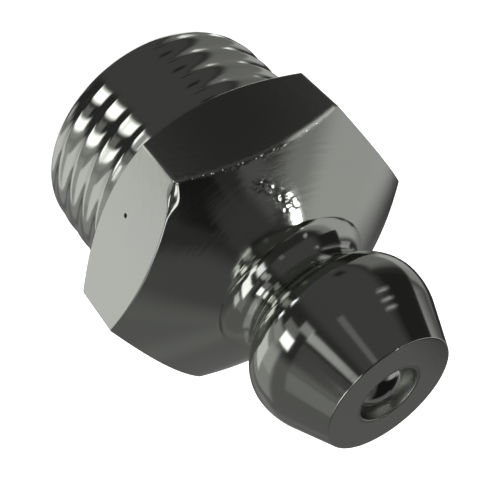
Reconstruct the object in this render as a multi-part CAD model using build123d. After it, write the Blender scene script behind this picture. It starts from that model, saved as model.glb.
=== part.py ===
from build123d import *
import os
from math import atan2, cos, degrees, hypot, radians, sin, sqrt, tan

# Straight grease fitting, hydraulic pattern, with a spring-loaded check ball inside.
# Millimetres and degrees. The axis is +Z, the head points up, and z = 0 is the seating face under the
# hexagon, so the threaded shank reaches down from the origin.

# Threaded shank, M10 x 1, drawn at its outside diameter
THREAD_DIAMETER = 10.0
THREAD_LENGTH = 5.2
THREAD_END_BEVEL = 0.9

# Hexagon with a turned bevel at each end
ACROSS_FLATS = 10.9
FLAT_HEIGHT = 3.42            # top of each flat at its middle, above the seating face
FRONT_BEVEL_ANGLE = 30.0      # from the plane across the axis
SEATING_FACE_DIAMETER = 10.4
REAR_BEVEL_ANGLE = 38.0
TOOL_OVERRUN = 0.4            # how far the turned bevels run on past the corners

# Waisted neck that the jaws of the grease coupler close behind
NECK_BASE_DIAMETER = 6.1
NECK_DIAMETER = 4.76
NECK_CURVE_RADIUS = 0.9

# Head: a round heel that runs out of the neck's hollow curve, a bulge, a cone and a flat face
HEAD_DIAMETER = 6.81
HEEL_CURVE_RADIUS = 1.619     # below the largest diameter
HEAD_CURVE_RADIUS = 2.58      # above it
HEAD_TAPER_ANGLE = 24.8       # of the cone's side, from the axis
HEAD_TAPER_LENGTH = 1.54
FACE_EDGE_BEVEL = 0.1

# Mouth and ball seat
MOUTH_DIAMETER = 2.31
MOUTH_EDGE_BEVEL = 0.1
SEAT_HALF_ANGLE = 30.0        # of the seat's cone, from the axis
BALL_DIAMETER = 2.8
BALL_RECESS = 0.06            # crown of the resting ball below the face
SEAT_GAP = 0.03               # between the resting ball and its seat
BALL_SIDE_CLEARANCE = 0.2     # between the ball and the bore, for the grease to pass

# Return spring: open turns between one closed turn at each end
WIRE_DIAMETER = 0.3
WIRE_SIDES = 8                # the round wire is drawn with this many sides
SPRING_SIDE_CLEARANCE = 0.25  # between the spring and the bore
SPRING_END_GAP = 0.03         # at the ball and at the retainer
OPEN_TURNS = 6
CLOSED_TURN_GAP = 0.03        # between a closed turn and the next

# Spring retainer, pressed into a counterbore at the shank's end
RETAINER_DIAMETER = 4.4
RETAINER_THICKNESS = 1.0
RETAINER_DEPTH = 1.6          # inside the shank's end
RETAINER_EDGE_BEVEL = 0.15
SPIGOT_CLEARANCE = 0.1        # between the spigot and the spring's inside
SPIGOT_HEIGHT = 0.7
SPIGOT_BEVEL = 0.12
OUTLET_DIAMETER = 1.0

# Radii
thread_r = THREAD_DIAMETER / 2
flat_r = ACROSS_FLATS / 2
overrun_r = flat_r / cos(radians(30)) + TOOL_OVERRUN
seating_r = SEATING_FACE_DIAMETER / 2
neck_base_r = NECK_BASE_DIAMETER / 2
neck_r = NECK_DIAMETER / 2
head_r = HEAD_DIAMETER / 2
mouth_r = MOUTH_DIAMETER / 2
ball_r = BALL_DIAMETER / 2
bore_r = ball_r + BALL_SIDE_CLEARANCE
wire_r = WIRE_DIAMETER / 2
spring_r = bore_r - SPRING_SIDE_CLEARANCE - wire_r
retainer_r = RETAINER_DIAMETER / 2
spigot_r = spring_r - wire_r - SPIGOT_CLEARANCE
outlet_r = OUTLET_DIAMETER / 2

# Heights of the outside, from the seating face up
shank_end = -THREAD_LENGTH
neck_base = FLAT_HEIGHT + (flat_r - neck_base_r) * tan(radians(FRONT_BEVEL_ANGLE))
hollow_r = neck_r + NECK_CURVE_RADIUS
hollow_centre = neck_base + sqrt(NECK_CURVE_RADIUS**2 - (hollow_r - neck_base_r)**2)
heel_centre_r = head_r - HEEL_CURVE_RADIUS
bulge_centre_r = head_r - HEAD_CURVE_RADIUS
bulge_centre = hollow_centre + sqrt((NECK_CURVE_RADIUS + HEEL_CURVE_RADIUS)**2 - (hollow_r - heel_centre_r)**2)
heel_start = atan2(bulge_centre - hollow_centre, hollow_r - heel_centre_r)
taper = radians(HEAD_TAPER_ANGLE)
taper_r = bulge_centre_r + HEAD_CURVE_RADIUS * cos(taper)
taper_start = bulge_centre + HEAD_CURVE_RADIUS * sin(taper)
face = taper_start + HEAD_TAPER_LENGTH
face_r = taper_r - HEAD_TAPER_LENGTH * tan(taper)

# Heights of the inside, from the face down. The seat's cone touches a sphere SEAT_GAP larger than the ball.
seat = radians(SEAT_HALF_ANGLE)
ball_centre = face - BALL_RECESS - ball_r
seat_apex = ball_centre + (ball_r + SEAT_GAP) / sin(seat)
seat_top = seat_apex - mouth_r / tan(seat)
seat_bottom = seat_apex - bore_r / tan(seat)
retainer_bottom = shank_end + RETAINER_DEPTH
retainer_top = retainer_bottom + RETAINER_THICKNESS

# Spring, by the middle of its wire
coil_bottom = retainer_top + SPRING_END_GAP + wire_r
coil_top = ball_centre - sqrt((ball_r + wire_r + SPRING_END_GAP)**2 - spring_r**2)
closed_rise = (WIRE_DIAMETER + CLOSED_TURN_GAP) / 2
open_rise = (coil_top - coil_bottom - 4 * closed_rise) / (2 * OPEN_TURNS)


def turned(points_and_arcs):
    """Revolve a closed half section, drawn on the XZ plane, once round the axis."""
    with BuildPart() as piece:
        with BuildSketch(Plane.XZ):
            with BuildLine():
                points_and_arcs()
            make_face()
        revolve(axis=Axis.Z)
    return piece.part


def outside_section():
    """Shank, neck, bulge, cone and face of the body."""
    shank = Polyline(
        (0, shank_end),
        (thread_r - THREAD_END_BEVEL, shank_end),
        (thread_r, shank_end + THREAD_END_BEVEL),
        (thread_r, 0),
        (neck_base_r, 0),
        (neck_base_r, neck_base),
    )
    heel_foot = (
        heel_centre_r + HEEL_CURVE_RADIUS * cos(heel_start),
        bulge_centre - HEEL_CURVE_RADIUS * sin(heel_start),
    )
    neck = ThreePointArc(shank @ 1, (neck_r, hollow_centre), heel_foot)
    heel = ThreePointArc(
        neck @ 1,
        (
            heel_centre_r + HEEL_CURVE_RADIUS * cos(heel_start / 2),
            bulge_centre - HEEL_CURVE_RADIUS * sin(heel_start / 2),
        ),
        (head_r, bulge_centre),
    )
    bulge = ThreePointArc(
        heel @ 1,
        (
            bulge_centre_r + HEAD_CURVE_RADIUS * cos(taper / 2),
            bulge_centre + HEAD_CURVE_RADIUS * sin(taper / 2),
        ),
        (taper_r, taper_start),
    )
    Polyline(
        bulge @ 1,
        (face_r + FACE_EDGE_BEVEL * tan(taper), face - FACE_EDGE_BEVEL),
        (face_r - FACE_EDGE_BEVEL, face),
        (0, face),
        (0, shank_end),
    )


def bevel_section():
    """Turned blank of the hexagon: a cone that starts at the seating face, and one that ends at the neck."""
    Polyline(
        (0, 0),
        (seating_r, 0),
        (overrun_r, (overrun_r - seating_r) * tan(radians(REAR_BEVEL_ANGLE))),
        (overrun_r, neck_base - (overrun_r - neck_base_r) * tan(radians(FRONT_BEVEL_ANGLE))),
        (neck_base_r, neck_base),
        (0, neck_base),
        (0, 0),
    )


def bore_section():
    """Passage for the grease: mouth, ball seat, bore and the retainer's counterbore."""
    Polyline(
        (0, face),
        (mouth_r + MOUTH_EDGE_BEVEL, face),
        (mouth_r, face - MOUTH_EDGE_BEVEL),
        (mouth_r, seat_top),
        (bore_r, seat_bottom),
        (bore_r, retainer_top),
        (retainer_r, retainer_top),
        (retainer_r, shank_end),
        (0, shank_end),
        (0, face),
    )


def fitting_body():
    """Body, turned and milled from one bar: shank, hexagon, neck and head, drilled through."""
    with BuildPart() as hexagon:
        with BuildSketch():
            RegularPolygon(flat_r, 6, major_radius=False, rotation=30)
        extrude(amount=neck_base)
    return turned(outside_section) + (hexagon.part & turned(bevel_section)) - turned(bore_section)


def check_ball():
    """Ball that the grease pushes down off its seat."""
    return Pos(0, 0, ball_centre) * Sphere(ball_r)


def return_spring():
    """Coil spring as a row of flat half rings.

    Each half ring is tilted, so that it climbs from one side of the axis to the other, and it starts and
    ends square to the next one. The wire's sides are turned by both tilts, so that they meet too.
    """
    rises = 2 * [closed_rise] + 2 * OPEN_TURNS * [open_rise] + 2 * [closed_rise]
    halves = []
    height, side, twist, last_tilt = coil_bottom, 1, 0, 0
    for rise in rises:
        tilt = atan2(rise, 2 * spring_r)
        twist -= degrees(last_tilt + tilt)
        middle = Vector(0, 0, height + rise / 2)
        outward = Vector(side * cos(tilt), 0, -sin(tilt))
        along = Vector(0, side, 0)
        start = Plane(middle + outward * hypot(spring_r, rise / 2), x_dir=outward, z_dir=along)
        wire = start * RegularPolygon(wire_r, WIRE_SIDES, rotation=twist)
        halves.append(revolve(wire, Axis(middle, outward.cross(along)), revolution_arc=180))
        height, side, last_tilt = height + rise, -side, tilt
    return halves[0].fuse(*halves[1:])


def spring_retainer():
    """Pressed-in plug that the spring stands on, with a spigot inside it and an outlet hole."""
    def section():
        Polyline(
            (outlet_r, retainer_bottom),
            (retainer_r - RETAINER_EDGE_BEVEL, retainer_bottom),
            (retainer_r, retainer_bottom + RETAINER_EDGE_BEVEL),
            (retainer_r, retainer_top),
            (spigot_r, retainer_top),
            (spigot_r, retainer_top + SPIGOT_HEIGHT - SPIGOT_BEVEL),
            (spigot_r - SPIGOT_BEVEL, retainer_top + SPIGOT_HEIGHT),
            (outlet_r, retainer_top + SPIGOT_HEIGHT),
            (outlet_r, retainer_bottom),
        )
    return turned(section)


os.makedirs("parts", exist_ok=True)
for make_piece in (fitting_body, check_ball, return_spring, spring_retainer):
    export_step(make_piece(), f"parts/{make_piece.__name__}.step")
print(f"overall length {face - shank_end:.2f}, face diameter {2 * face_r:.2f}, ball centre {ball_centre:.3f}")
print(f"spring {coil_top - coil_bottom + WIRE_DIAMETER:.2f} long, "
      f"{open_rise * 2 - WIRE_DIAMETER:.2f} between open turns")
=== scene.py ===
"""Straight grease fitting: a turned and milled steel body with a rolled thread, and the valve inside it.

All sizes are millimetres and degrees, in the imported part's own frame: the axis is +Z, the head points up, and
height 0 is the seating face under the hexagon. Meshes are scaled to metres when they are made.
"""

import logging
from dataclasses import dataclass, field
from enum import Enum
from math import acos, atan, cos, pi, radians, sin, sqrt, tan

import bpy
import numpy as np
from mathutils import Matrix

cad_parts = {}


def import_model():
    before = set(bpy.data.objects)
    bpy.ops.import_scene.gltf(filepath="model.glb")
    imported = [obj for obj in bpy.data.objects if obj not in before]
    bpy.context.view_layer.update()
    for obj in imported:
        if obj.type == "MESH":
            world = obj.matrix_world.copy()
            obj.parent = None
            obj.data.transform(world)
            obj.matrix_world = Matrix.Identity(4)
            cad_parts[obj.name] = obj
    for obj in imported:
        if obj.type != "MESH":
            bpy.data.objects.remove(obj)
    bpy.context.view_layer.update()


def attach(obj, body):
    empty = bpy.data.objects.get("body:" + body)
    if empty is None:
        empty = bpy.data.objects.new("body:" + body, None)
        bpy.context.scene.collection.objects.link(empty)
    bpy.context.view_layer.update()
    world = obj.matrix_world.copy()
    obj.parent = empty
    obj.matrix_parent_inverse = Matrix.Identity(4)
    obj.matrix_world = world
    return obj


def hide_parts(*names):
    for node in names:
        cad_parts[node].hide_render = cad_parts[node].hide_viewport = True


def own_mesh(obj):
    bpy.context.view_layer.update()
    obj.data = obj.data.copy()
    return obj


MM = 0.001
TURN = 2 * pi
log = logging.getLogger("grease_fitting")


def bell(distance: np.ndarray, width: float, power: int = 2) -> np.ndarray:
    """Bell over a distance: exp(-(distance / width) ^ power)."""
    return np.exp(-(distance / width)**power)


def band(values: np.ndarray, first: float, last: float, rise: float, fall: float) -> np.ndarray:
    """Band from first to last: the way in over the rise times that over the fall, each kept in 0 to 1."""
    return np.clip((values - first) / rise, 0, 1) * np.clip((last - values) / fall, 0, 1)


def smooth_step(t: np.ndarray) -> np.ndarray:
    """Soft change from 0 to 1 as t goes from 0 to 1: t t (3 - 2 t)."""
    t = np.clip(t, 0, 1)
    return t * t * (3 - 2 * t)


def quads(rings: int, sides: int, ring_steps: int, side_steps: int) -> list[list[int]]:
    """Faces over a grid of points: (ring, side), (ring, side + 1), (ring + 1, side + 1), (ring + 1, side).

    Args:
        rings: Number of rings of points.
        sides: Number of points in a ring.
        ring_steps: Number of faces from ring to ring. As many as rings, it joins the last to the first.
        side_steps: Number of faces along a ring. As many as sides, it closes the ring.

    Returns:
        Numbers of the points round each face.
    """
    ring, side = np.meshgrid(np.arange(ring_steps), np.arange(side_steps), indexing="ij")
    above, beside = (ring + 1) % rings, (side + 1) % sides
    corners = [
        ring * sides + side,
        ring * sides + beside,
        above * sides + beside,
        above * sides + side,
    ]
    return np.stack(corners, axis=-1).reshape(-1, 4).tolist()


def new_piece(name: str, places: np.ndarray, faces: list[list[int]],
              marks: dict[str, np.ndarray] | None = None) -> bpy.types.Object:
    """Make a smooth mesh and its object.

    Args:
        name: Name of the new object.
        places: Places in millimetres, as points x 3.
        faces: Numbers of the points round each face.
        marks: Values that become attributes of the mesh. Points past the last value get 0.

    Returns:
        The new object, linked to the scene, at the origin.
    """
    mesh = bpy.data.meshes.new(name)
    mesh.from_pydata((places * MM).tolist(), [], faces)
    mesh.polygons.foreach_set("use_smooth", np.ones(len(mesh.polygons), dtype=bool))
    for mark, values in (marks or {}).items():
        flat = np.zeros(len(places), dtype=np.float32)
        flat[:values.size] = values.ravel()
        mesh.attributes.new(mark, "FLOAT", "POINT").data.foreach_set("value", flat)
    mesh.update()
    piece = bpy.data.objects.new(name, mesh)
    bpy.context.scene.collection.objects.link(piece)
    return piece


class Ends(Enum):
    """How the first and the last ring of a skin are closed."""

    JOINED = "joined to each other, so that the skin is a ring"
    CAPPED = "each closed by a fan round its middle"


def skin(name: str, points: np.ndarray, ends: Ends,
         marks: dict[str, np.ndarray] | None = None) -> bpy.types.Object:
    """Make a closed, smooth mesh over a grid of points, whose rings are closed.

    The faces look towards the cross product of the side direction and the ring direction.

    Args:
        name: Name of the new object.
        points: Places in millimetres, as rings x sides x 3.
        ends: How the first and last ring are closed.
        marks: Values per point, as rings x sides, that become attributes of the mesh.

    Returns:
        The new object, linked to the scene, at the origin.
    """
    rings, sides = points.shape[:2]
    places = points.reshape(-1, 3)
    if ends is Ends.JOINED:
        return new_piece(name, places, quads(rings, sides, rings, sides), marks)
    faces = quads(rings, sides, rings - 1, sides)
    around = np.arange(sides)
    after = (around + 1) % sides
    last = (rings - 1) * sides
    middle = len(places)
    faces += np.stack([after, around, np.full(sides, middle)], axis=-1).tolist()
    faces += np.stack([last + around, last + after, np.full(sides, middle + 1)], axis=-1).tolist()
    places = np.concatenate([places, [points[0].mean(axis=0), points[-1].mean(axis=0)]])
    return new_piece(name, places, faces, marks)


def turned(rows: np.ndarray, angles: np.ndarray) -> np.ndarray:
    """Rows carried round the axis, as (radius cos a, radius sin a, height) at each column's angle a."""
    radius, height = rows[..., 0], rows[..., 1]
    return np.stack([radius * np.cos(angles), radius * np.sin(angles), height], axis=-1)


def even_turn(count: int) -> np.ndarray:
    """Angles in radians at even steps once round."""
    return TURN * np.arange(count) / count


@dataclass(frozen=True)
class Corner:
    """Corner of a half section, with its edge broken a little.

    Attributes:
        radius: From the axis, one number or one per column.
        height: Above the seating face, one number or one per column.
        soften: How much of the run on each side the broken edge takes, one number or one per column.
        run: Number of steps on the run that follows.
    """

    radius: float | np.ndarray
    height: float | np.ndarray
    soften: float | np.ndarray = 0.0
    run: int = 1

    def place(self, columns: int) -> np.ndarray:
        """Place of the corner at each column."""
        ones = np.ones(columns)
        return np.stack([self.radius * ones, self.height * ones], axis=-1)

    def reach(self) -> np.ndarray:
        """Softening as a column that multiplies a direction."""
        return np.asarray(self.soften)[..., None]


def crowded(steps: int) -> np.ndarray:
    """Shares from 0 to 1 that lie closer together towards both ends: (1 - cos(pi k / steps)) / 2."""
    return (1 - np.cos(pi * np.arange(steps + 1) / steps)) / 2


def broken_outline(corners: list[Corner], columns: int, edge_steps: int = 5) -> np.ndarray:
    """Rows along a line of corners, each broken by a short curve.

    The curve at a corner P runs from A on the run before it to B on the run after it, as
    (1 - t)^2 A + 2 t (1 - t) P + t^2 B. The first and last corner stay sharp, since the line goes on
    from them.

    Args:
        corners: The corners in order.
        columns: Number of columns.
        edge_steps: Steps of each curve.

    Returns:
        Rows of radius and height, as rows x columns x 2. The last corner is left out.
    """
    places = [corner.place(columns) for corner in corners]
    share = (np.arange(edge_steps) / edge_steps)[:, None, None]
    rows, start = [], places[0]
    for index, corner in enumerate(corners[:-1]):
        here, there = places[index], places[index + 1]
        along = (there - here) / np.linalg.norm(there - here, axis=-1, keepdims=True)
        if index:
            before = start
            start = here + along * corner.reach()
            rows.append((1 - share)**2 * before + 2 * share * (1 - share) * here + share**2 * start)
        last = index == len(corners) - 2
        stop = there - along * (0 if last else corners[index + 1].reach())
        run = crowded(corner.run)[:-1, None, None]
        rows.append(start + (stop - start) * run)
        start = stop
    return np.concatenate(rows)


def arc_rows(centre: tuple[float, float], radius: float, first: float, last: float, steps: int,
             columns: int) -> np.ndarray:
    """Rows on an arc: centre + radius (cos a, sin a), with a going evenly from first to last, last left out.

    Args:
        centre: Radius and height of the arc's centre.
        radius: Radius of the arc.
        first: First angle in radians, from outwards.
        last: Last angle in radians.
        steps: Number of rows.
        columns: Number of columns.

    Returns:
        Rows of radius and height, as rows x columns x 2.
    """
    angle = np.linspace(first, last, steps, endpoint=False)
    row = np.stack([centre[0] + radius * np.cos(angle), centre[1] + radius * np.sin(angle)], axis=-1)
    return np.repeat(row[:, None, :], columns, axis=1)


def put_in_place(piece: bpy.types.Object, finish: "PlatedSteel | BareSteel", node: str, body: str) -> bpy.types.Object:
    """Give a piece its finish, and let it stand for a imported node.

    Args:
        piece: The new piece.
        finish: Its finish.
        node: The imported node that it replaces.
        body: The moving body that it rides on.

    Returns:
        The piece.
    """
    piece.data.materials.append(finish.material())
    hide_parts(node)
    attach(piece, body)
    return piece


@dataclass
class WrenchHexagon:
    """Milled hexagon between two turned bevels, which cut its flats off in arcs."""

    across_flats: float = 10.9
    flat_height: float = 3.42
    front_bevel: float = 30.0
    rear_bevel: float = 38.0
    seating_diameter: float = 10.4
    neck_base_diameter: float = 6.1
    corner_radius: float = 0.1
    seat_edge: float = 0.03
    rear_edge: float = 0.05
    front_edge: float = 0.03
    worn_corner: float = 213.5
    worn_reach: float = 4.0
    worn_edge: float = 0.3
    crown: float = 0.045
    flat_depth: float = 0.02
    edge_slack: tuple[float, float] = (0.01, 0.05)

    @property
    def top(self) -> float:
        """Height where the front bevel ends at the neck."""
        reach = (self.across_flats - self.neck_base_diameter) / 2
        return self.flat_height + reach * tan(radians(self.front_bevel))

    def radius(self, angles: np.ndarray) -> np.ndarray:
        """Distance of the flats from the axis.

        On a flat it is a / cos(t), with half the width across flats and t the angle from the flat's middle.
        Near a corner it is the far side of a small circle that touches both flats.

        Args:
            angles: Angle of each column in radians.

        Returns:
            The distance at each column.
        """
        half, sector = self.across_flats / 2, pi / 6
        t = np.abs((angles + sector) % (2 * sector) - sector)
        centre = (half - self.corner_radius) / cos(sector)
        touch = atan((half - self.corner_radius) * tan(sector) / half)
        away = sector - t
        inside = np.maximum(self.corner_radius**2 - (centre * np.sin(away))**2, 0)
        return np.where(t < touch, half / np.cos(t), centre * np.cos(away) + np.sqrt(inside))

    def rear_height(self, flats: np.ndarray) -> np.ndarray:
        """Height of the rear bevel's edge: (flats - seating radius) tan(rear bevel)."""
        return (flats - self.seating_diameter / 2) * tan(radians(self.rear_bevel))

    def front_height(self, flats: np.ndarray) -> np.ndarray:
        """Height of the front bevel's edge: top - (flats - neck radius) tan(front bevel)."""
        return self.top - (flats - self.neck_base_diameter / 2) * tan(radians(self.front_bevel))

    def corners(self, angles: np.ndarray) -> list[Corner]:
        """Corners from the seating face up to the neck, the last one belonging to the neck.

        Args:
            angles: Angle of each column.

        Returns:
            The corners in order.
        """
        flats = self.radius(angles)
        worn = bell(np.degrees(angles) % 360 - self.worn_corner, self.worn_reach)
        front_edge = self.front_edge + (self.worn_edge - self.front_edge) * worn
        return [
            Corner(self.seating_diameter / 2, 0, self.seat_edge, run=8),
            Corner(flats, self.rear_height(flats), self.rear_edge, run=26),
            Corner(flats, self.front_height(flats), front_edge, run=30),
        ]

    def crowned(self, rows: np.ndarray, angles: np.ndarray) -> np.ndarray:
        """Raise the front bevel by 4 c t (1 - t), with t the way out from the neck to the corners.

        The flats stretch up to it, from a third of their height on.

        Args:
            rows: Radius and height of the hexagon's points.
            angles: Angle of each column.

        Returns:
            The raised rows.
        """
        radius, height = rows[..., 0], rows[..., 1]
        neck, corner = self.neck_base_diameter / 2, self.across_flats / 2 / cos(pi / 6)
        t = np.clip((radius - neck) / (corner - neck), 0, 1)
        start = self.flat_height / 3
        part = np.clip((height - start) / (self.front_height(self.radius(angles)) - start), 0, 1)
        return np.stack([radius, height + 4 * self.crown * t * (1 - t) * part], axis=-1)

    def flat_share(self, rows: np.ndarray, angles: np.ndarray) -> np.ndarray:
        """Share that is 1 on the flats and falls to 0 with the distance from their planes.

        Args:
            rows: Radius and height of each point.
            angles: Angle of each column.

        Returns:
            Share from 0 to 1.
        """
        radius, height = rows[..., 0], rows[..., 1]
        flats = self.radius(angles)
        below, above = self.edge_slack
        inside = (height > self.rear_height(flats) - below) & (height < self.front_height(flats) + above)
        return np.clip(1 - np.abs(radius - flats) / self.flat_depth, 0, 1) * inside

    def from_front_edge(self, rows: np.ndarray, angles: np.ndarray) -> np.ndarray:
        """Distance of each point from the crowned front bevel's edge.

        Args:
            rows: Radius and height of each point.
            angles: Angle of each column.

        Returns:
            The distances.
        """
        flats = self.radius(angles)
        edge = self.crowned(np.stack([flats, self.front_height(flats)], axis=-1), angles)
        return np.hypot(rows[..., 0] - flats, rows[..., 1] - edge[..., 1])


@dataclass
class ThreadedShank:
    """Shank with a shallow right-hand thread that runs up to the hexagon."""

    diameter: float = 10.0
    length: float = 5.2
    end_bevel: float = 0.9
    pitch: float = 1.0
    ridge_depth: float = 0.07
    ridge_shift: float = 0.68
    valley_width: float = 0.6
    crest_round: float = 0.004
    run_out: float = 0.2
    blend: float = 0.02
    end_gap: float = 0.06
    seat_gap: float = 0.03
    steps: int = 84

    def radius(self, angles: np.ndarray, height: np.ndarray) -> np.ndarray:
        """Thread's radius: half the diameter less the depth times ((1 - cos(share)) / 2) to a power under 1.

        The share grows by one turn per pitch of height and falls by one turn round the axis, which winds the
        ridge to the right, and the power makes the valleys wider than the crests. The bevel at the end is a
        cone, and the smaller of the two holds, with the change rounded by a logarithm of summed exponentials.

        Args:
            angles: Angle of each column.
            height: Height of each point.

        Returns:
            Radius of each point.
        """
        share = TURN * (height / self.pitch - self.ridge_shift) - angles
        fade = np.clip(-height / self.run_out, 0, 1)
        wave = ((1 - np.cos(share)) / 2 + self.crest_round)**self.valley_width
        ridges = self.diameter / 2 - self.ridge_depth * fade * wave
        cone = self.diameter / 2 - self.end_bevel + (height + self.length)
        return -self.blend * np.logaddexp(-ridges / self.blend, -cone / self.blend)

    def rows(self, angles: np.ndarray) -> np.ndarray:
        """Rows from the end bevel's foot up to the seating face.

        Args:
            angles: Angle of each column.

        Returns:
            Rows of radius and height.
        """
        heights = np.linspace(-self.length + self.end_gap, -self.seat_gap, self.steps)
        height = np.repeat(heights[:, None], len(angles), axis=1)
        return np.stack([self.radius(angles, height), height], axis=-1)


@dataclass
class NeckAndHead:
    """Waisted neck, and the head that the coupler's jaws close behind."""

    neck_base_diameter: float = 6.1
    neck_diameter: float = 4.76
    fillet_radius: float = 0.9
    heel_radius: float = 1.619
    head_diameter: float = 6.81
    curve_radius: float = 2.58
    taper_angle: float = 24.8
    taper_length: float = 1.54
    face_edge: float = 0.03
    fillet_steps: int = 44
    heel_steps: int = 26
    curve_steps: int = 16

    @property
    def fillet_r(self) -> float:
        """Radius of the centre of the neck's hollow curve."""
        return self.neck_diameter / 2 + self.fillet_radius

    @property
    def heel_r(self) -> float:
        """Radius of the centre of the heel's curve."""
        return self.head_diameter / 2 - self.heel_radius

    @property
    def fillet_start(self) -> float:
        """Angle in radians, from inwards, at which the hollow curve leaves the neck's base."""
        return acos((self.fillet_r - self.neck_base_diameter / 2) / self.fillet_radius)

    def fillet_z(self, base: float) -> float:
        """Height of the centre of the neck's hollow curve."""
        return base + self.fillet_radius * sin(self.fillet_start)

    def bulge_centre(self, base: float) -> tuple[float, float]:
        """Centre of the bulge's curve, level with the heel's, whose arc touches the hollow one."""
        rise = sqrt((self.fillet_radius + self.heel_radius)**2 - (self.fillet_r - self.heel_r)**2)
        return self.head_diameter / 2 - self.curve_radius, self.fillet_z(base) + rise

    def taper_start(self, base: float) -> tuple[float, float]:
        """Place where the bulge runs on into the cone.

        Args:
            base: Height of the neck's base.

        Returns:
            Radius and height.
        """
        bulge_r, bulge_z = self.bulge_centre(base)
        slope = radians(self.taper_angle)
        return bulge_r + self.curve_radius * cos(slope), bulge_z + self.curve_radius * sin(slope)

    def face(self, base: float) -> tuple[float, float]:
        """Radius and height of the flat face."""
        radius, height = self.taper_start(base)
        return radius - self.taper_length * tan(radians(self.taper_angle)), height + self.taper_length

    def rows(self, base: float, columns: int) -> np.ndarray:
        """Rows from the neck's base to the start of the cone: a hollow arc, the heel's arc and the bulge's.

        The hollow arc and the heel's arc touch where the line between their centres crosses them.

        Args:
            base: Height of the neck's base.
            columns: Number of columns.

        Returns:
            Rows of radius and height.
        """
        fillet_z = self.fillet_z(base)
        bulge_r, bulge_z = self.bulge_centre(base)
        meet = atan((bulge_z - fillet_z) / (self.fillet_r - self.heel_r))
        fillet, heel, bulge = (self.fillet_r, fillet_z), (self.heel_r, bulge_z), (bulge_r, bulge_z)
        first, taper = pi + self.fillet_start, radians(self.taper_angle)
        return np.concatenate([
            arc_rows(fillet, self.fillet_radius, first, pi - meet, self.fillet_steps, columns),
            arc_rows(heel, self.heel_radius, -meet, 0, self.heel_steps, columns),
            arc_rows(bulge, self.curve_radius, 0, taper, self.curve_steps, columns),
        ])


@dataclass
class GreasePassage:
    """Mouth, ball seat, bore and the counterbore for the retainer."""

    mouth_diameter: float = 2.31
    seat_half_angle: float = 30.0
    seat_apex: float = 11.726
    bore_diameter: float = 3.2
    counterbore_diameter: float = 4.4
    counterbore_top: float = -2.6
    mouth_edge: float = 0.05
    seat_edge: float = 0.03
    counterbore_edge: float = 0.05
    rim_edge: float = 0.08

    def corners(self, face: float, end: float) -> list[Corner]:
        """Corners from the face's mouth down to the shank's end.

        Args:
            face: Height of the flat face.
            end: Height of the shank's end.

        Returns:
            The corners in order.
        """
        slope = tan(radians(self.seat_half_angle))
        mouth, bore = self.mouth_diameter / 2, self.bore_diameter / 2
        counterbore = self.counterbore_diameter / 2
        return [
            Corner(mouth, face, self.mouth_edge, run=5),
            Corner(mouth, self.seat_apex - mouth / slope, self.seat_edge, run=4),
            Corner(bore, self.seat_apex - bore / slope, self.seat_edge, run=12),
            Corner(bore, self.counterbore_top, self.counterbore_edge, run=3),
            Corner(counterbore, self.counterbore_top, self.counterbore_edge, run=8),
            Corner(counterbore, end, self.rim_edge, run=5),
        ]


@dataclass(frozen=True)
class GlintSpot:
    """Round painted highlight on the neck, at an angle and a height, with its radius as its size."""

    angle: float
    height: float
    size: float


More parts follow.
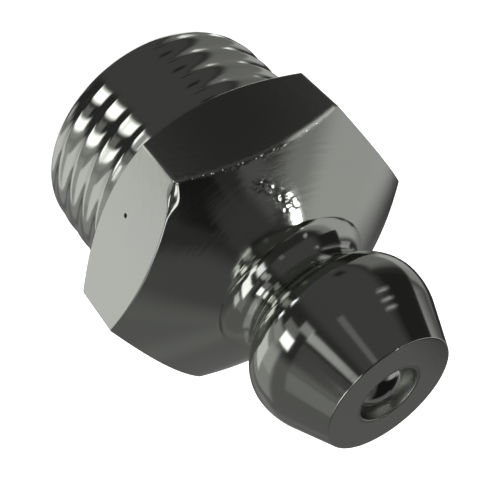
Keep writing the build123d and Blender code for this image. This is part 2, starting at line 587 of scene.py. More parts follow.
@dataclass
class ToolMarksAndGlints:
    """Marks that tools and wear left on the body, and painted highlights, as shares per point for the finish.

    Angles and their spreads and fades are degrees, and a pair is the first and last or the smallest and
    largest value. Turning holds a share for each of some heights, from the shank to the face. The line of
    chatter starts at its angle and radius, and turns by its slant for each millimetre outwards.
    """

    flat_dullness: float = 0.15
    bore_dullness: float = 0.6
    bore_radius: float = 1.3
    bore_floor: float = 5.0
    edge_width: float = 0.09
    burrs: tuple[float, float] = (151.0, 210.0)
    burr_fade: float = 3.0
    turning: tuple[tuple[float, float], ...] = (
        (-0.1, 0.25), (0.0, 0.4), (3.3, 0.35), (4.7, 0.3), (5.0, 0.4), (6.4, 0.6), (7.6, 0.2), (8.6, 0.12),
    )
    chatter_angle: float = 173.0
    chatter_radius: float = 3.2
    chatter_slant: float = 9.2
    chatter_width: float = 3.5
    chatter_reach: tuple[float, float] = (3.45, 4.95)
    chatter_fade: float = 0.2
    chatter_heights: tuple[float, float] = (3.0, 5.0)
    # Painted highlights: three pale matt arcs on the head's cone, in place of mirrored light stripes
    arc_glint_angle: float = 166.0
    arc_glint_spread: float = 4.0
    arc_glint_heights: tuple[float, ...] = (8.64, 8.94, 9.2)
    arc_glint_width: float = 0.05
    arc_glint_strength: float = 0.6
    # Painted highlight: a pale matt line along the hexagon's front edge
    edge_glint_angles: tuple[float, float] = (150.5, 174.0)
    edge_glint_fade: tuple[float, float] = (1.0, 8.0)
    edge_glint_width: float = 0.08
    # Painted highlights: round pale matt spots on the neck
    neck_glints: tuple[GlintSpot, ...] = (GlintSpot(170.0, 6.1, 0.2), GlintSpot(167.5, 5.5, 0.06), GlintSpot(172.0, 5.05, 0.05))
    neck_reach: tuple[float, float] = (2.0, 3.2)

    def shares(self, rows: np.ndarray, angles: np.ndarray, hexagon: WrenchHexagon) -> dict[str, np.ndarray]:
        """Shares of all marks at each point.

        Args:
            rows: Radius and height of each point.
            angles: Angle of each column.
            hexagon: The hexagon, for its flats and its front edge.

        Returns:
            The shares by the name of their attribute.
        """
        radius, height = rows[..., 0], rows[..., 1]
        degrees = np.degrees(angles) % 360
        bore = (radius < self.bore_radius) & (height > self.bore_floor)
        from_edge = hexagon.from_front_edge(rows, angles)
        burrs = band(degrees, *self.burrs, self.burr_fade, self.burr_fade)
        flat = self.flat_dullness * hexagon.flat_share(rows, angles)
        return {
            "dull": np.maximum(flat, self.bore_dullness * bore),
            # Painted highlights, as a share that turns the metal to pale matt grey
            "painted_glint": self.painted_glints(radius, height, degrees, from_edge),
            "edge": bell(from_edge, self.edge_width) * burrs,
            "turning": np.interp(height, *zip(*self.turning)) * ~bore,
            "chatter": self.chatter(radius, height, degrees),
        }

    def painted_glints(self, radius: np.ndarray, height: np.ndarray, degrees: np.ndarray,
               from_edge: np.ndarray) -> np.ndarray:
        """Painted highlights of pale matt grey: three short arcs on the head's cone, a stretch of the hexagon's edge
        and spots on the neck.

        Args:
            radius: Radius of each point.
            height: Height of each point.
            degrees: Angle of each column.
            from_edge: Distance of each point from the hexagon's front edge.

        Returns:
            The largest of their shares, each a bell over the distance from its middle.
        """
        inner, outer = self.neck_reach
        # Painted highlights on the head's cone
        arcs = self.arc_glint_strength * sum(bell(height - at, self.arc_glint_width) for at in self.arc_glint_heights)
        arcs = arcs * bell(degrees - self.arc_glint_angle, self.arc_glint_spread, 4) * (radius > inner)
        # Painted highlight along the hexagon's front edge
        edge_glint = bell(from_edge, self.edge_glint_width) * band(degrees, *self.edge_glint_angles, *self.edge_glint_fade)
        share = np.maximum(arcs, edge_glint)
        # Painted glints on the neck
        for spot in self.neck_glints:
            aside = np.radians(degrees - spot.angle) * radius
            spot_share = bell(np.hypot(aside, height - spot.height), spot.size, 4)
            share = np.maximum(share, spot_share * (radius > inner) * (radius < outer))
        return share

    def chatter(self, radius: np.ndarray, height: np.ndarray, degrees: np.ndarray) -> np.ndarray:
        """Bell round a slanted line, angle + slant (radius - inner radius), across the front bevel.

        Args:
            radius: Radius of each point.
            height: Height of each point.
            degrees: Angle of each column.

        Returns:
            Share from 0 to 1.
        """
        line = self.chatter_angle + (radius - self.chatter_radius) * self.chatter_slant
        stretch = band(radius, *self.chatter_reach, self.chatter_fade, self.chatter_fade)
        lowest, highest = self.chatter_heights
        return bell(degrees - line, self.chatter_width) * stretch * (height > lowest) * (height < highest)


@dataclass
class FittingBody:
    """Body of the fitting, as one closed skin from the shank's end over the head and back down the bore."""

    shank: ThreadedShank = field(default_factory=ThreadedShank)
    hexagon: WrenchHexagon = field(default_factory=WrenchHexagon)
    head: NeckAndHead = field(default_factory=NeckAndHead)
    passage: GreasePassage = field(default_factory=GreasePassage)
    marks: ToolMarksAndGlints = field(default_factory=ToolMarksAndGlints)
    columns: int = 252
    corner_crowding: float = 0.965
    seam: float = 0.08
    end_edge: float = 0.06
    bevel_start: float = 0.05

    def angles(self) -> np.ndarray:
        """Angles of the columns, crowded at the hexagon's corners: u - c sin(6 u + pi) / 6, with u even."""
        even = even_turn(self.columns)
        return even - self.corner_crowding * np.sin(6 * even + pi) / 6

    def rows(self, angles: np.ndarray) -> np.ndarray:
        """Rows of the whole half section, once round from the seam on the shank's end face.

        Args:
            angles: Angle of each column.

        Returns:
            Rows of radius and height.
        """
        columns = len(angles)
        top = self.hexagon.top
        end = -self.shank.length
        foot = self.shank.diameter / 2 - self.shank.end_bevel
        seam_r = self.passage.counterbore_diameter / 2 + self.seam
        face_r, face_z = self.head.face(top)
        end_face = [
            Corner(seam_r, end, run=6),
            Corner(foot, end, self.end_edge),
            Corner(foot + self.bevel_start, end + self.bevel_start),
        ]
        hexagon = [
            Corner(self.shank.diameter / 2, 0, run=2),
            *self.hexagon.corners(angles),
            Corner(self.hexagon.neck_base_diameter / 2, top),
        ]
        cone_and_passage = [
            Corner(*self.head.taper_start(top), run=40),
            Corner(face_r, face_z, self.head.face_edge, run=10),
            *self.passage.corners(face_z, end),
            Corner(seam_r, end),
        ]
        return np.concatenate([
            broken_outline(end_face, columns),
            self.shank.rows(angles),
            self.hexagon.crowned(broken_outline(hexagon, columns), angles),
            self.head.rows(top, columns),
            broken_outline(cone_and_passage, columns),
        ])

    def build(self) -> bpy.types.Object:
        """Make the body's mesh.

        Returns:
            The body's object.
        """
        angles = self.angles()
        rows = self.rows(angles)
        marks = self.marks.shares(rows, angles, self.hexagon)
        return skin("turned_body", turned(rows, angles), Ends.JOINED, marks)

    def dress(self, finish: "PlatedSteel") -> bpy.types.Object:
        """Make the body in its finish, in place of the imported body."""
        return put_in_place(self.build(), finish, "fitting_body", "fitting")


@dataclass
class CheckBall:
    """Ball that closes the mouth from inside."""

    diameter: float = 2.8
    centre: float = 8.866
    rings: int = 72
    sides: int = 144

    def build(self) -> bpy.types.Object:
        """Make the ball as centre + r (-cos p, sin p cos t, sin p sin t), with its poles aside in the bore.

        Returns:
            The ball's object.
        """
        polar = pi * np.arange(1, self.rings) / self.rings
        p, t = np.meshgrid(polar, even_turn(self.sides), indexing="ij")
        unit = np.stack([-np.cos(p), np.sin(p) * np.cos(t), np.sin(p) * np.sin(t)], axis=-1)
        points = self.diameter / 2 * unit
        points[..., 2] += self.centre
        return skin("valve_ball", points, Ends.CAPPED)

    def dress(self, finish: "BareSteel") -> bpy.types.Object:
        """Make the ball in its finish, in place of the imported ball."""
        return put_in_place(self.build(), finish, "check_ball", "ball")


@dataclass
class ReturnSpring:
    """Coil spring under the ball: open turns between one closed turn at each end."""

    mean_diameter: float = 2.4
    wire_diameter: float = 0.3
    bottom: float = -2.42
    top: float = 7.838
    closed_rise: float = 0.33
    open_turns: float = 6.0
    foot: float = -2.6
    travel: float = 1.0
    steps_per_turn: int = 48
    wire_sides: int = 16

    def build(self) -> bpy.types.Object:
        """Make the coil as a ring of the wire carried along a right-hand helix.

        The middle line is (r cos a, r sin a, h), with h rising by the closed rise over the first and the last
        turn and evenly in between. The ring is cos s outward + sin s across, with outward = (cos a, sin a, 0)
        and across square to it and to the line's own direction.

        Returns:
            The coil's object.
        """
        turns = self.open_turns + 2
        at = np.linspace(0, turns, int(turns * self.steps_per_turn) + 1)
        a = TURN * at
        h = np.interp(at, [0, 1, 1 + self.open_turns, turns],
                      [self.bottom, self.bottom + self.closed_rise, self.top - self.closed_rise, self.top])
        radius = self.mean_diameter / 2
        middle = np.stack([radius * np.cos(a), radius * np.sin(a), h], axis=-1)
        outward = np.stack([np.cos(a), np.sin(a), np.zeros_like(a)], axis=-1)
        along = np.gradient(middle, axis=0)
        along /= np.linalg.norm(along, axis=1, keepdims=True)
        across = np.cross(along, outward)
        s = even_turn(self.wire_sides)[None, :, None]
        ring = np.cos(s) * outward[:, None, :] + np.sin(s) * across[:, None, :]
        return skin("coil_spring", middle[:, None, :] + self.wire_diameter / 2 * ring, Ends.CAPPED)

    def dress(self, finish: "BareSteel") -> bpy.types.Object:
        """Make the spring in its finish, in place of the imported one, with a mesh of its own.

        Args:
            finish: Finish of its wire.

        Returns:
            The coil's object.
        """
        spring = put_in_place(self.build(), finish, "return_spring", "fitting")
        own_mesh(spring)
        return spring


@dataclass
class SpringRetainer:
    """Plug pressed into the shank's end, with a spigot inside the spring and an outlet hole."""

    diameter: float = 4.4
    bottom: float = -3.6
    thickness: float = 1.0
    edge_bevel: float = 0.15
    spigot_diameter: float = 1.9
    spigot_height: float = 0.7
    spigot_bevel: float = 0.12
    outlet_diameter: float = 1.0
    outer_edge: float = 0.02
    top_edge: float = 0.03
    outlet_edge: float = 0.05
    seam: float = 0.1
    columns: int = 128

    def build(self) -> bpy.types.Object:
        """Make the plug as one closed skin: out along its underside, up, in over the spigot, down the hole.

        Returns:
            The plug's object.
        """
        outer, spigot, outlet = self.diameter / 2, self.spigot_diameter / 2, self.outlet_diameter / 2
        top = self.bottom + self.thickness
        crown = top + self.spigot_height
        rows = broken_outline([
            Corner(outlet + self.seam, self.bottom, run=8),
            Corner(outer - self.edge_bevel, self.bottom, self.outer_edge, run=3),
            Corner(outer, self.bottom + self.edge_bevel, self.outer_edge, run=5),
            Corner(outer, top, self.top_edge, run=8),
            Corner(spigot, top, self.top_edge, run=5),
            Corner(spigot, crown - self.spigot_bevel, self.outer_edge, run=3),
            Corner(spigot - self.spigot_bevel, crown, self.outer_edge, run=4),
            Corner(outlet, crown, self.top_edge, run=8),
            Corner(outlet, self.bottom, self.outlet_edge, run=2),
            Corner(outlet + self.seam, self.bottom),
        ], self.columns)
        return skin("pressed_retainer", turned(rows, even_turn(self.columns)), Ends.JOINED)

    def dress(self, finish: "BareSteel") -> bpy.types.Object:
        """Make the retainer in its finish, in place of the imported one."""
        return put_in_place(self.build(), finish, "spring_retainer", "fitting")


def linear(hex_colour: str) -> tuple[float, float, float, float]:
    """Turn an sRGB hex value to a linear colour.

    Args:
        hex_colour: A hash and six hex digits.

    Returns:
        Linear red, green, blue and an alpha of 1.
    """
    values = [int(hex_colour[at:at + 2], 16) / 255 for at in (1, 3, 5)]
    red, green, blue = [v / 12.92 if v <= 0.04045 else ((v + 0.055) / 1.055)**2.4 for v in values]
    return red, green, blue, 1.0


def add_node(tree: bpy.types.NodeTree, kind: str, settings: dict[str | int, object] | None = None,
             links: dict[str | int, bpy.types.NodeSocket] | None = None) -> bpy.types.Node:
    """Add a shader node.

    Args:
        tree: The material's or world's node tree.
        kind: Blender's name of the node type.
        settings: Values by the name or number of an input, or by the name of a property of the node.
        links: Outputs of other nodes, by the name or number of the input they go to.

    Returns:
        The new node.
    """
    node = tree.nodes.new(kind)
    properties = {name: value for name, value in (settings or {}).items() if hasattr(node, str(name))}
    for name, value in properties.items():
        setattr(node, name, value)
    for name, value in (settings or {}).items():
        if name not in properties:
            node.inputs[name].default_value = value
    for name, output in (links or {}).items():
        tree.links.new(output, node.inputs[name])
    return node


def new_material(name: str) -> bpy.types.Material:
    """Make a material with an empty node tree.

    Args:
        name: Name of the material.

    Returns:
        The new material.
    """
    material = bpy.data.materials.new(name)
    material.use_nodes = True
    material.node_tree.nodes.clear()
    return material


def seen_directly(tree: bpy.types.NodeTree) -> bpy.types.NodeSocket:
    """Share that is 1 to the camera and in reflections and glass, and 0 to light that falls on something.

    It is the largest of Light Path's camera, glossy and transmission outputs.

    Args:
        tree: The material's or world's node tree.

    Returns:
        The share.
    """
    path = add_node(tree, "ShaderNodeLightPath")
    reflected = add_node(tree, "ShaderNodeMath", {"operation": "MAXIMUM"}, {
        0: path.outputs["Is Camera Ray"], 1: path.outputs["Is Glossy Ray"],
    })
    return add_node(tree, "ShaderNodeMath", {"operation": "MAXIMUM"}, {
        0: reflected.outputs[0], 1: path.outputs["Is Transmission Ray"],
    }).outputs[0]


@dataclass(frozen=True)
class PlatedSteel:
    """Turned and milled steel under a thin bright zinc plate, almost a mirror.

    Attributes:
        colour: Of the plate, a grey that leans to green.
        cool: Of the cooler clouds in it.
        clouds: Number of clouds per millimetre.
        roughness: On the turned faces.
        dull_roughness: Where the metal is as dull as it gets.
        mark_pitch: Width in millimetres of the turning marks.
        mark_depth: Depth in millimetres of the turning marks.
        mark_circle: Units of noise that the radius of a turning mark's circle takes.
        burrs: Number of burrs per millimetre along the hexagon's front edge.
        burr_depth: Their depth in millimetres.
        dents: Number of dents per millimetre in the patch of tool chatter.
        dent_depth: Their depth in millimetres.
        speck: Place in millimetres of the black speck on one flat.
        speck_size: Its diameter in millimetres.
        speck_edge: Its diameter over that of its evenly dark core.
        speck_colour: Of the bare metal in it.
    """

    colour: str = "#CDD0C4"
    cool: str = "#C9CCC8"
    clouds: float = 0.35
    roughness: float = 0.1
    dull_roughness: float = 0.5
    mark_pitch: float = 0.14
    mark_depth: float = 0.008
    mark_circle: float = 3.0
    burrs: float = 6
    burr_depth: float = 0.08
    dents: float = 5
    dent_depth: float = 0.045
    speck: tuple[float, float, float] = (-3.3, -4.39, 1.4)
    speck_size: float = 0.2
    speck_edge: float = 1.3
    speck_colour: str = "#161616"

    def material(self) -> bpy.types.Material:
        """Make the material.

        Returns:
            The new material.
        """
        material = new_material("bright_zinc_plated_steel")
        tree = material.node_tree
        place = add_node(tree, "ShaderNodeTexCoord").outputs["Object"]
        # Flats are a little duller than turned faces, and the drilled bore is much duller
        dull = add_node(tree, "ShaderNodeAttribute", {"attribute_name": "dull"})
        roughness = add_node(tree, "ShaderNodeMapRange", {
            "To Min": self.roughness, "To Max": self.dull_roughness,
        }, {"Value": dull.outputs["Fac"]})
        # Painted highlights: pale matt grey instead of metal, standing in for glints on the head's cone, the hexagon's
        # edge and the neck
        painted_glint = add_node(tree, "ShaderNodeAttribute", {"attribute_name": "painted_glint"})
        metal = add_node(tree, "ShaderNodeMapRange", {"To Min": 1.0, "To Max": 0.0}, {
            "Value": painted_glint.outputs["Fac"],
        })
        shader = add_node(tree, "ShaderNodeBsdfPrincipled", links={
            "Base Color": self.plate(tree, place),
            "Roughness": roughness.outputs[0],
            "Metallic": metal.outputs[0],
            "Normal": self.relief(tree, place),
        })
        add_node(tree, "ShaderNodeOutputMaterial", links={"Surface": shader.outputs["BSDF"]})
        return material

    def plate(self, tree: bpy.types.NodeTree, place: bpy.types.NodeSocket) -> bpy.types.NodeSocket:
        """Colour of the plate, with the black speck on the flat that faces the camera.

        Args:
            tree: The material's node tree.
            place: Object coordinates.

        Returns:
            The colour.
        """
        # Clouds of a cooler grey, several millimetres wide, so that broad faces aren't one flat tone
        clouds = add_node(tree, "ShaderNodeTexNoise", {"Scale": self.clouds / MM, "Detail": 2.0}, {
            "Vector": place,
        })
        plate = add_node(tree, "ShaderNodeMix", {"data_type": "RGBA"}, {"Factor": clouds.outputs["Fac"]})
        plate.inputs["A"].default_value = linear(self.colour)
        plate.inputs["B"].default_value = linear(self.cool)
        away = add_node(tree, "ShaderNodeVectorMath", {"operation": "DISTANCE"}, {0: place})
        away.inputs[1].default_value = [value * MM for value in self.speck]
        bare = add_node(tree, "ShaderNodeMapRange", {
            "From Min": self.speck_size / 2 * MM, "From Max": self.speck_size / (2 * self.speck_edge) * MM,
        }, {"Value": away.outputs["Value"]})
        colour = add_node(tree, "ShaderNodeMix", {"data_type": "RGBA"}, {
            "Factor": bare.outputs[0], "A": plate.outputs["Result"],
        })
        colour.inputs["B"].default_value = linear(self.speck_colour)
        return colour.outputs["Result"]

    def relief(self, tree: bpy.types.NodeTree, place: bpy.types.NodeSocket) -> bpy.types.NodeSocket:
        """Fine relief: turning marks that break highlights up into beads, and burrs and dents that sparkle.

        Args:
            tree: The material's node tree.
            place: Object coordinates.

        Returns:
            The normal.
        """
        burrs = add_node(tree, "ShaderNodeTexNoise", {"Scale": self.burrs / MM, "Detail": 1.0}, {
            "Vector": place,
        })
        dents = add_node(tree, "ShaderNodeTexNoise", {"Scale": self.dents / MM, "Detail": 0.0}, {
            "Vector": place,
        })
        normal = {}
        for attribute, depth, height in (
            ("turning", self.mark_depth, self.turning_marks(tree, place)),
            ("edge", self.burr_depth, burrs.outputs["Fac"]),
            ("chatter", self.dent_depth, dents.outputs["Fac"]),
        ):
            share = add_node(tree, "ShaderNodeAttribute", {"attribute_name": attribute})
            bump = add_node(tree, "ShaderNodeBump", {"Distance": depth * MM}, {
                "Height": height, "Strength": share.outputs["Fac"], **normal,
            })
            normal = {"Normal": bump.outputs[0]}
        return normal["Normal"]

    def turning_marks(self, tree: bpy.types.NodeTree, place: bpy.types.NodeSocket) -> bpy.types.NodeSocket:
        """Noise that is fine along the half section and long round the axis.

        Its four coordinates are the place on a circle of c units, (c cos a, c sin a), and the height and the
        radius over the pitch of the marks.

        Args:
            tree: The material's node tree.
            place: Object coordinates.

        Returns:
            The noise, from 0 to 1.
        """
        pitch = self.mark_pitch * MM
        parts = add_node(tree, "ShaderNodeSeparateXYZ", links={0: place})
        level = add_node(tree, "ShaderNodeCombineXYZ", links={0: parts.outputs["X"], 1: parts.outputs["Y"]})
        radius = add_node(tree, "ShaderNodeVectorMath", {"operation": "LENGTH"}, {0: level.outputs[0]})
        circle = add_node(tree, "ShaderNodeVectorMath", {"operation": "NORMALIZE"}, {0: level.outputs[0]})
        wide = add_node(tree, "ShaderNodeVectorMath", {"operation": "SCALE", "Scale": self.mark_circle}, {
            0: circle.outputs[0],
        })
        rise = add_node(tree, "ShaderNodeMath", {"operation": "DIVIDE", 1: pitch}, {0: parts.outputs["Z"]})
        lift = add_node(tree, "ShaderNodeCombineXYZ", links={2: rise.outputs[0]})
        whole = add_node(tree, "ShaderNodeVectorMath", {"operation": "ADD"}, {
            0: wide.outputs[0], 1: lift.outputs[0],
        })
        out = add_node(tree, "ShaderNodeMath", {"operation": "DIVIDE", 1: pitch}, {
            0: radius.outputs["Value"],
        })
        noise = add_node(tree, "ShaderNodeTexNoise", {
            "noise_dimensions": "4D", "Scale": 1.0, "Detail": 1.5,
        }, {"Vector": whole.outputs[0], "W": out.outputs[0]})
        return noise.outputs["Fac"]


@dataclass(frozen=True)
class BareSteel:
    """Steel without plate: polished for the ball, drawn for the spring's wire, turned for the retainer.

    Attributes:
        name: Name of the material.
        colour: Of the metal.
        roughness: From 0 for a mirror to 1 for dull.
        grain: Depth in millimetres of the drawing or turning marks.
        grains: Number of grains per millimetre.
    """

    name: str
    colour: str
    roughness: float
    grain: float = 0.0
    grains: float = 10

    def material(self) -> bpy.types.Material:
        """Make the material, with fine grain where it has any.

        Returns:
            The new material.
        """
        material = new_material(self.name)
        tree = material.node_tree
        shader = add_node(tree, "ShaderNodeBsdfPrincipled", {
            "Base Color": linear(self.colour), "Metallic": 1.0, "Roughness": self.roughness,
        })
        if self.grain:
            # Coarser than the real marks, so that it still shows
            place = add_node(tree, "ShaderNodeTexCoord").outputs["Object"]
            noise = add_node(tree, "ShaderNodeTexNoise", {"Scale": self.grains / MM, "Detail": 2.0}, {
                "Vector": place,
            })
            bump = add_node(tree, "ShaderNodeBump", {"Distance": self.grain * MM}, {
                "Height": noise.outputs["Fac"],
            })
            tree.links.new(bump.outputs[0], shader.inputs["Normal"])
        add_node(tree, "ShaderNodeOutputMaterial", links={"Surface": shader.outputs["BSDF"]})
        return material


# Hardened and polished, which makes it a mirror
BALL_STEEL = BareSteel("polished_ball_steel", "#D2D2D0", roughness=0.06)
# Drawn through a die, which leaves a soft grey sheen
SPRING_WIRE = BareSteel("drawn_spring_wire", "#B9BABA", roughness=0.28, grain=0.002)
# Turned and left as it is, which gives it a satin look
RETAINER_STEEL = BareSteel("turned_retainer_steel", "#C4C5C1", roughness=0.22, grain=0.003)


class Laid(Enum):
    """How a card's light meets what lies behind it."""

    ADDED = "added to it"
    OVER = "in place of it"


@dataclass(frozen=True)
class Card:
    """Evenly lit patch of the dome that the bright metal mirrors.

    Attributes:
        azimuth: First and last direction in degrees, from +X towards +Y.
        elevation: Lowest and highest direction in degrees.
        light: Strength of the light it gives, 1 being white.
        soft: Width in degrees over which its edges fade.
        laid: How it meets what lies behind it.
    """

    azimuth: tuple[float, float]
    elevation: tuple[float, float]
    light: float
    soft: float
    laid: Laid = Laid.ADDED

    def share(self, azimuth: np.ndarray, elevation: np.ndarray) -> np.ndarray:
        """Share of the card at each direction: a smooth step over the way in from its nearest edge.

        Args:
            azimuth: Directions in degrees.
            elevation: Directions in degrees.

        Returns:
            Share from 0 to 1.
        """
        middle, half = sum(self.azimuth) / 2, (self.azimuth[1] - self.azimuth[0]) / 2
        aside = half - np.abs((azimuth - middle + 180) % 360 - 180)
        upright = np.minimum(elevation - self.elevation[0], self.elevation[1] - elevation)
        return smooth_step(np.minimum(aside, upright) / self.soft)


def show_in_reflections_only(piece: bpy.types.Object) -> None:
    """Hide a lit piece of the stage from all but reflections.

    Args:
        piece: The piece.
    """
    piece.visible_camera = False
    piece.visible_diffuse = False
    piece.visible_shadow = False
    piece.visible_transmission = False


@dataclass
class LightDome:
    """Dome round the fitting that only reflections see, its cards drawn as one light per point."""

    cards: dict[str, Card]
    radius: float = 1200.0
    base: float = 0.03

    def light(self, azimuth: np.ndarray, elevation: np.ndarray) -> np.ndarray:
        """Light in each direction, with the cards laid on one after another.

        Args:
            azimuth: Directions in degrees.
            elevation: Directions in degrees.

        Returns:
            Strength of the light, 1 being white.
        """
        light = np.full(azimuth.shape, self.base)
        for card in self.cards.values():
            share = card.share(azimuth, elevation)
            light = light * (1 - share * (card.laid is Laid.OVER)) + share * card.light
        return light

    def build(self) -> None:
        """Make the dome as r (cos e cos a, cos e sin a, sin e), with a point at each degree."""
        elevation, azimuth = np.meshgrid(np.arange(-89.0, 90.0), np.arange(360.0), indexing="ij")
        e, a = np.radians(elevation), np.radians(azimuth)
        points = self.radius * np.stack([np.cos(e) * np.cos(a), np.cos(e) * np.sin(a), np.sin(e)], axis=-1)
        dome = skin("light_dome", points, Ends.CAPPED, {"light": self.light(azimuth, elevation)})
        material = new_material("light_dome")
        tree = material.node_tree
        light = add_node(tree, "ShaderNodeAttribute", {"attribute_name": "light"})
        glow = add_node(tree, "ShaderNodeEmission", links={"Strength": light.outputs["Fac"]})
        add_node(tree, "ShaderNodeOutputMaterial", links={"Surface": glow.outputs[0]})
        dome.data.materials.append(material)
        show_in_reflections_only(dome)


@dataclass(frozen=True)
class NearCard:
    """Lit strip close to the shank, which the thread mirrors and the head doesn't.

    Attributes:
        angle: First and last angle in degrees round the axis.
        height: Lowest and highest place in millimetres.
        light: Strength of the light it gives, 1 being white.
        radius: Distance in millimetres from the axis.
        soft: Share of its width over which its edges fade.
        steps: Number of faces along each side.
    """

    angle: tuple[float, float]
    height: tuple[float, float]
    light: float
    radius: float = 12.0
    soft: float = 0.35
    steps: int = 32

    def build(self, name: str) -> None:
        """Make the strip as (r cos a, r sin a, h), with a share of light per point that falls at its edges.

        Args:
            name: Name of the strip.
        """
        share = np.linspace(0, 1, self.steps + 1)
        up, across = np.meshgrid(share, share, indexing="ij")
        a = np.radians(self.angle[0] + (self.angle[1] - self.angle[0]) * across)
        h = self.height[0] + (self.height[1] - self.height[0]) * up
        places = np.stack([self.radius * np.cos(a), self.radius * np.sin(a), h], axis=-1).reshape(-1, 3)
        from_edge = np.minimum(np.minimum(up, 1 - up), np.minimum(across, 1 - across))
        faces = quads(len(share), len(share), self.steps, self.steps)
        card = new_piece(name, places, faces, {"fade": smooth_step(from_edge / self.soft)})
        material = new_material(name)
        tree = material.node_tree
        fade = add_node(tree, "ShaderNodeAttribute", {"attribute_name": "fade"})
        clear = add_node(tree, "ShaderNodeBsdfTransparent")
        glow = add_node(tree, "ShaderNodeEmission", {"Strength": self.light})
        mix = add_node(tree, "ShaderNodeMixShader", links={
            0: fade.outputs["Fac"], 1: clear.outputs[0], 2: glow.outputs[0],
        })
        add_node(tree, "ShaderNodeOutputMaterial", links={"Surface": mix.outputs[0]})
        card.data.materials.append(material)
        show_in_reflections_only(card)


@dataclass
class Studio:
    """White floor and background, a soft lamp, and the lights that the bright metal mirrors."""

    floor_height: float = -5.21
    floor_size: float = 900.0
    floor_colour: str = "#F4F4F4"
    floor_glow: float = 0.9
    floor_light: float = 0.4
    lamp_height: float = 200.0
    lamp_size: float = 300.0
    lamp_power: float = 0.25
    cards: dict[str, Card] = field(default_factory=lambda: {
        "room_behind": Card((122, 218), (-96, 38), 0.038, 14),
        "flat_flag": Card((143, 159), (-48, -33), 0.024, 4, Laid.OVER),
        "zenith": Card((-180, 540), (78, 92), 0.02, 4),
        "left_wall": Card((258, 356), (-62, 49), 0.1, 16),
        "left_high_wall": Card((285, 358), (30, 82), 0.05, 16),
        "left_low_wall": Card((255, 330), (-62, -8), 0.17, 8),
        "left_edge": Card((273.5, 300), (6, 34), 0.08, 2.5),
        "left_dim": Card((236, 274), (6, 26), 0.045, 4),
        "paper_high": Card((283, 305), (28, 52), 0.58, 6),
        "front_wall": Card((-22, 44), (-30, 40), 0.1, 14),
        "front_low_wall": Card((-30, 30), (-60, -14), 0.1, 8),
        "right_wall": Card((28, 120), (-16, 74), 0.22, 20),
        "right_wall_core": Card((44, 98), (-8, 66), 0.19, 14),
        "right_high_wall": Card((104, 150), (60, 82), 0.07, 9),
        "right_low_wall": Card((55, 128), (-68, -18), 0.16, 12),
        "right_low_streak": Card((70, 106), (-69, -54), 1.1, 4),
        "right_low_band": Card((54, 84), (-43, -9), 0.26, 6),
        "black_flag": Card((83.5, 124), (-16, 22), 0.02, 3, Laid.OVER),
        "silhouette_flag": Card((2, 44), (-52, -24), 0.05, 8, Laid.OVER),
        "zenith_flag": Card((180, 272), (66, 83), 0.01, 4, Laid.OVER),
        "mouth_low_flag": Card((27, 56), (21, 46), 0.02, 4, Laid.OVER),
        "mouth_flag": Card((-8, 62), (29, 92), 0.01, 7, Laid.OVER),
        "neck_glint": Card((34, 70), (-58, -46), 1.2, 4),
        "low_dot": Card((240, 288), (-84, -69), 1.2, 4),
        "paper": Card((273.5, 312), (-64, -29), 0.45, 3),
        "paper_top": Card((262, 297), (-33, -11), 0.1, 5),
        "window_right": Card((241, 257), (-24, -3), 1.9, 2.5),
        "window_right_low": Card((241, 264), (-54, -20), 0.3, 8),
        "window_edge": Card((228, 244), (-34, -4), 0.16, 4),
        "stripe": Card((220, 235), (7, 27), 0.42, 4),
        "stripe_low": Card((217, 232), (-11, 12), 0.28, 4),
        "far_stripe": Card((183, 194), (16, 34), 0.1, 3),
        "high_window": Card((250, 280), (21, 60), 1.5, 5),
        "high_window_top": Card((236, 262), (55, 71), 1.4, 4),
        "high_window_left": Card((215, 240), (28, 62), 1.2, 7),
        "strip": Card((88, 97), (60.5, 66.5), 12.0, 1.5),
    })
    near_cards: dict[str, NearCard] = field(default_factory=lambda: {
        "near_window_left": NearCard((208.5, 223), (-12, -2.5), 2.2),
        "near_window_right": NearCard((232, 246), (-12, -3.3), 2.0),
    })

    def build(self) -> None:
        """Make the dome, the near cards, the background, the floor and the lamp."""
        LightDome(self.cards).build()
        for name, card in self.near_cards.items():
            card.build(name)
        self.world()
        self.floor()
        self.lamp()
        log.info("studio: %d cards on the dome, %d near the shank", len(self.cards), len(self.near_cards))

    def world(self) -> None:
        """Make the background: white where it is seen, softer where it lights the floor."""
        world = bpy.data.worlds.new("studio_background")
        world.use_nodes = True
        tree = world.node_tree
        tree.nodes.clear()
        strength = add_node(tree, "ShaderNodeMapRange", {"To Min": self.floor_light, "To Max": 1.0}, {
            "Value": seen_directly(tree),
        })
        light = add_node(tree, "ShaderNodeBackground", {"Color": linear("#FFFFFF")}, {
            "Strength": strength.outputs[0],
        })
        add_node(tree, "ShaderNodeOutputWorld", links={"Surface": light.outputs[0]})
        bpy.context.scene.world = world

    def floor(self) -> None:
        """Make the floor, which keeps the fitting's shadow and stays out of the reflections."""
        half = self.floor_size / 2
        corners = np.array([(-half, -half), (half, -half), (half, half), (-half, half)])
        places = np.column_stack([corners, np.full(4, self.floor_height)])
        floor = new_piece("floor", places, [[0, 1, 2, 3]])
        material = new_material("white_paper_floor")
        tree = material.node_tree
        paper = add_node(tree, "ShaderNodeBsdfDiffuse", {"Color": linear(self.floor_colour)})
        glow = add_node(tree, "ShaderNodeEmission", {"Strength": self.floor_glow})
        black = add_node(tree, "ShaderNodeEmission", {"Strength": 0.0})
        seen = add_node(tree, "ShaderNodeMixShader", links={
            0: seen_directly(tree), 1: black.outputs[0], 2: glow.outputs[0],
        })
        both = add_node(tree, "ShaderNodeAddShader", links={0: paper.outputs[0], 1: seen.outputs[0]})
        add_node(tree, "ShaderNodeOutputMaterial", links={"Surface": both.outputs[0]})
        floor.data.materials.append(material)
        floor.visible_glossy = False

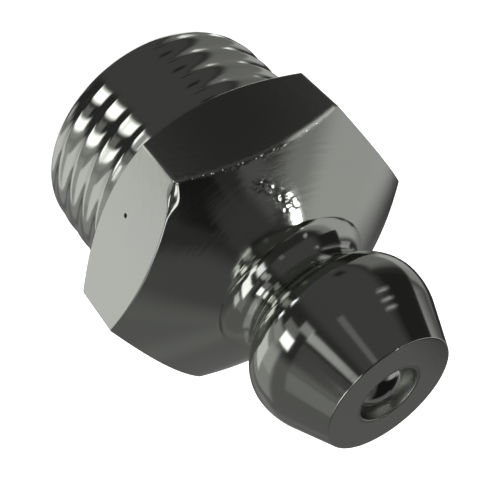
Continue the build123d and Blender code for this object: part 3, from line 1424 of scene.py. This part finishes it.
    def lamp(self) -> None:
        """Make a wide soft lamp above the fitting, out of the reflections."""
        data = bpy.data.lights.new("soft_lamp", "AREA")
        data.shape = "DISK"
        data.size = self.lamp_size * MM
        data.energy = self.lamp_power
        lamp = bpy.data.objects.new("soft_lamp", data)
        lamp.location = (0, 0, self.lamp_height * MM)
        lamp.visible_glossy = False
        bpy.context.scene.collection.objects.link(lamp)


@dataclass(frozen=True)
class PhotographCamera:
    """Camera at the photograph's angle, as fitted to the outline of the object.

    Attributes:
        place: Its place in millimetres.
        heading: Direction in which it looks, in degrees from +X towards +Y.
        dip: How far it looks down, in degrees.
        roll: How far it is turned round its line of sight, in degrees.
        lens: Focal length in millimetres.
    """

    place: tuple[float, float, float] = (-28.024, -12.784, 23.449)
    heading: float = 23.8962
    dip: float = 35.0183
    roll: float = 138.7474
    lens: float = 76.24

    def build(self) -> None:
        """Make the camera and set it as the scene's.

        It looks along (cos b cos a, cos b sin a, -sin b), with heading a and dip b. Its right is
        cos c level + sin c lift, with roll c, level = (sin a, -cos a, 0) and lift square to both.
        """
        a, b, c = radians(self.heading), radians(self.dip), radians(self.roll)
        forward = np.array([cos(b) * cos(a), cos(b) * sin(a), -sin(b)])
        level = np.array([sin(a), -cos(a), 0])
        lift = np.cross(level, forward)
        right = cos(c) * level + sin(c) * lift
        up = cos(c) * lift - sin(c) * level
        matrix = np.eye(4)
        matrix[:3] = np.column_stack([right, up, -forward, np.array(self.place) * MM])
        data = bpy.data.cameras.new("photograph_camera")
        data.lens = self.lens
        data.clip_start = MM
        camera = bpy.data.objects.new("photograph_camera", data)
        camera.matrix_world = Matrix(matrix.tolist())
        bpy.context.scene.collection.objects.link(camera)
        bpy.context.scene.camera = camera


def main() -> None:
    """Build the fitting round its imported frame, then the studio and the camera."""
    logging.basicConfig(level=logging.INFO, format="%(message)s")
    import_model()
    PhotographCamera().build()
    pieces = [
        FittingBody().dress(PlatedSteel()),
        CheckBall().dress(BALL_STEEL),
        ReturnSpring().dress(SPRING_WIRE),
        SpringRetainer().dress(RETAINER_STEEL),
    ]
    for piece in pieces:
        log.info("%s: %d faces of %s", piece.name, len(piece.data.polygons), piece.active_material.name)
    Studio().build()
    bpy.context.scene.view_settings.view_transform = "Standard"


if __name__ == "__main__":
    main()
